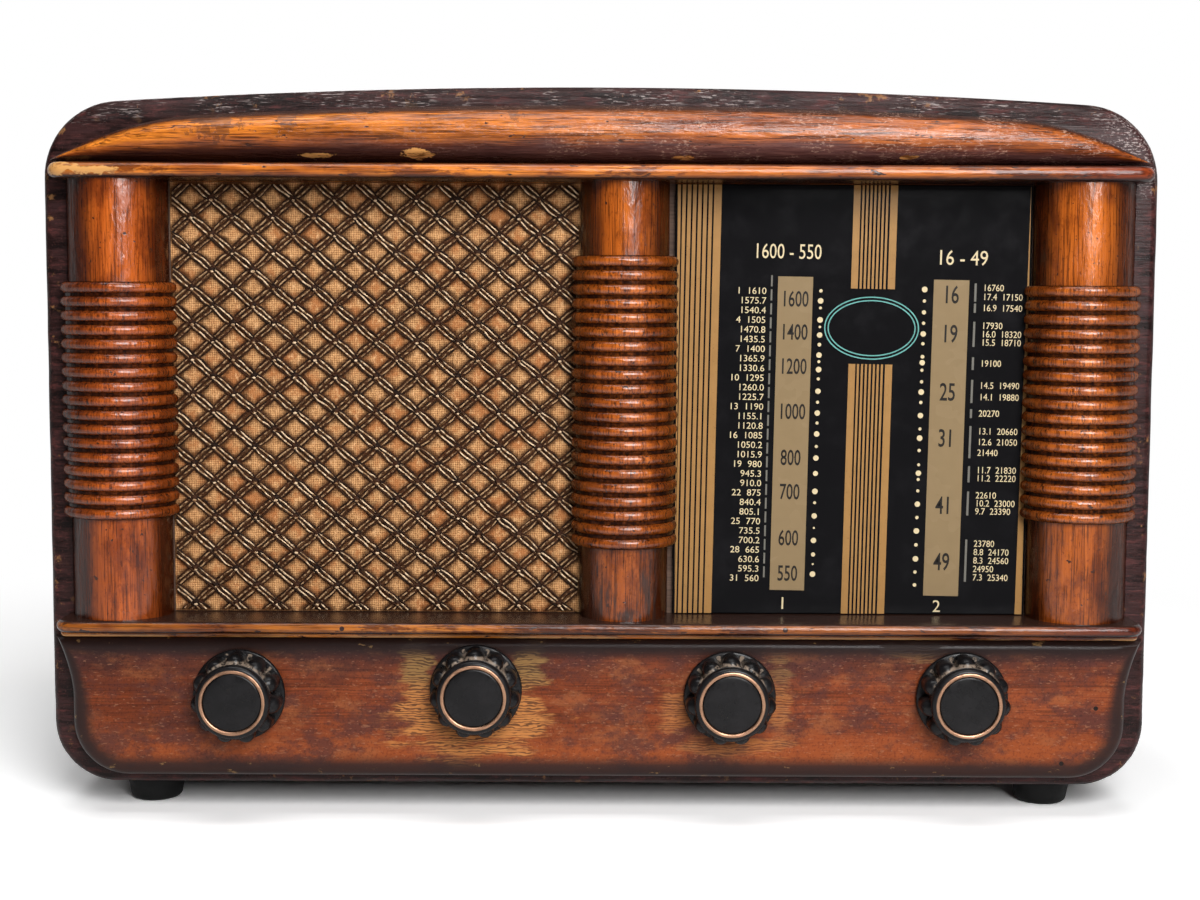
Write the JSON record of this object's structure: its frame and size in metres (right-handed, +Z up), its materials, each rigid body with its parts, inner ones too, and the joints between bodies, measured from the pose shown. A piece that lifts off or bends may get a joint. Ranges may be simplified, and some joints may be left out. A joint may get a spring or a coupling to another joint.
{
  "type": "tube radio",
  "caption": "Wooden table radio with valves: arched cabinet, turned columns, grille cloth, upright glass dial, lobed knobs and rubber feet.",
  "frame": {"origin": "middle of the part's footprint, on the table under the rubber feet", "axes": "+X to the radio's right as seen from the front, -Y towards the listener, +Z up"},
  "size_m": [0.52, 0.273, 0.3424],
  "materials": {
    "dark_wood": "dark varnish",
    "orange_wood": "worn glossy varnish",
    "board_wood": "worn varnish",
    "column_wood": "glossy varnish",
    "plywood": "bare",
    "grille_cloth": "woven",
    "back_board": "pressed fibre board",
    "brass": "worn",
    "rubber": "matt",
    "dial_glass": "black printed glass",
    "white_sheet": "matt paint",
    "steel": "plain",
    "pointer_red": "paint",
    "lamp_glass": "clear",
    "drum_card": "pressed card",
    "dial_cord": "waxed",
    "chassis_steel": "plated sheet",
    "core_iron": "dark enamel",
    "coil_paper": "waxed paper",
    "can_aluminium": "drawn",
    "brown_plastic": "moulded",
    "bakelite": "glossy",
    "valve_glass": "clear with silvering",
    "control_metal": "stamped",
    "cone_paper": "felted paper",
    "copper": "satin copper"
  },
  "bodies": {
    "cabinet": {"cabinet_shell": "dark_wood", "front_baffle": "plywood", "crown_moulding": "orange_wood", "upper_bar": "orange_wood", "ledge_board": "orange_wood", "ledge_fillet": "orange_wood", "control_board": "board_wood", "left_column": "column_wood", "middle_column": "column_wood", "right_column": "column_wood", "grille_cloth": "grille_cloth", "back_cover": "back_board", "cabinet_screws": "brass", "rubber_feet": "rubber", "mains_gland": "rubber", "dial_glass": "dial_glass", "dial_backplate": "white_sheet", "pointer_rails": "steel", "dial_lamps": "lamp_glass", "lamp_holders": "brass", "drive_cord": "dial_cord", "pointer_cord": "dial_cord", "pulley_pins": "steel", "chassis": "chassis_steel", "transformer_cores": "core_iron", "transformer_coils": "coil_paper", "filter_capacitor": "can_aluminium", "if_cans": "can_aluminium", "valve_sockets": "brown_plastic", "valve_bases": "bakelite", "rectifier_bulb": "valve_glass", "output_bulb": "valve_glass", "signal_bulbs": "valve_glass", "socket_strip": "brown_plastic", "gang_frame": "steel", "gang_stator": "can_aluminium", "volume_control": "control_metal", "tone_control": "control_metal", "wave_switch": "control_metal", "tuning_bush": "brass", "speaker_basket": "core_iron", "speaker_cone": "cone_paper", "speaker_magnet": "core_iron"},
    "volume": {"volume_shaft": "steel", "volume_knob": "bakelite", "volume_ring": "copper"},
    "tone": {"tone_shaft": "steel", "tone_knob": "bakelite", "tone_ring": "copper"},
    "tuning": {"tuning_shaft": "steel", "tuning_knob": "bakelite", "tuning_ring": "copper"},
    "wave": {"wave_shaft": "steel", "wave_knob": "bakelite", "wave_ring": "copper"},
    "drum": {"dial_drum": "drum_card", "gang_rotor": "can_aluminium"},
    "pointer": {"dial_pointer": "pointer_red"},
    "upper_pulley": {"upper_pulley": "brass"},
    "lower_pulley": {"lower_pulley": "brass"}
  },
  "joints": [
    {"name": "volume_turn", "type": "hinge", "parent": "cabinet", "child": "volume", "pos_m": [-0.1686, -0.11632, 0.0588], "axis": [0, 1, 0], "range_deg": [0, 300]},
    {"name": "tone_turn", "type": "hinge", "parent": "cabinet", "child": "tone", "pos_m": [-0.0577, -0.11632, 0.0615], "axis": [0, 1, 0], "range_deg": [0, 270]},
    {"name": "wave_turn", "type": "hinge", "parent": "cabinet", "child": "wave", "pos_m": [0.1701, -0.11632, 0.0588], "axis": [0, 1, 0], "range_deg": [0, 60]},
    {"name": "drum_turn", "type": "hinge", "parent": "cabinet", "child": "drum", "pos_m": [0.1188, -0.06653, 0.15], "axis": [0, 1, 0], "range_deg": [0, 180]},
    {"name": "tuning_turn", "type": "hinge", "parent": "cabinet", "child": "tuning", "pos_m": [0.0613, -0.11632, 0.0588], "axis": [0, 1, 0], "range_deg": [0, 2160]},
    {"name": "pointer_slide", "type": "slide", "parent": "cabinet", "child": "pointer", "axis": [0, 0, 1], "range_m": [0, 0.14608]},
    {"name": "upper_pulley_turn", "type": "hinge", "parent": "cabinet", "child": "upper_pulley", "pos_m": [0.0508, -0.07153, 0.2979], "axis": [0, 1, 0], "range_deg": [0, 1396]},
    {"name": "lower_pulley_turn", "type": "hinge", "parent": "cabinet", "child": "lower_pulley", "pos_m": [0.0508, -0.07153, 0.092], "axis": [0, 1, 0], "range_deg": [0, 1396]}
  ],
  "couplings": [
    {"joint": "tuning_turn", "follows": "drum_turn", "ratio": 12},
    {"joint": "pointer_slide", "follows": "drum_turn", "m_per_rad": 0.0465},
    {"joint": "upper_pulley_turn", "follows": "drum_turn", "ratio": 7.75},
    {"joint": "lower_pulley_turn", "follows": "drum_turn", "ratio": 7.75}
  ]
}
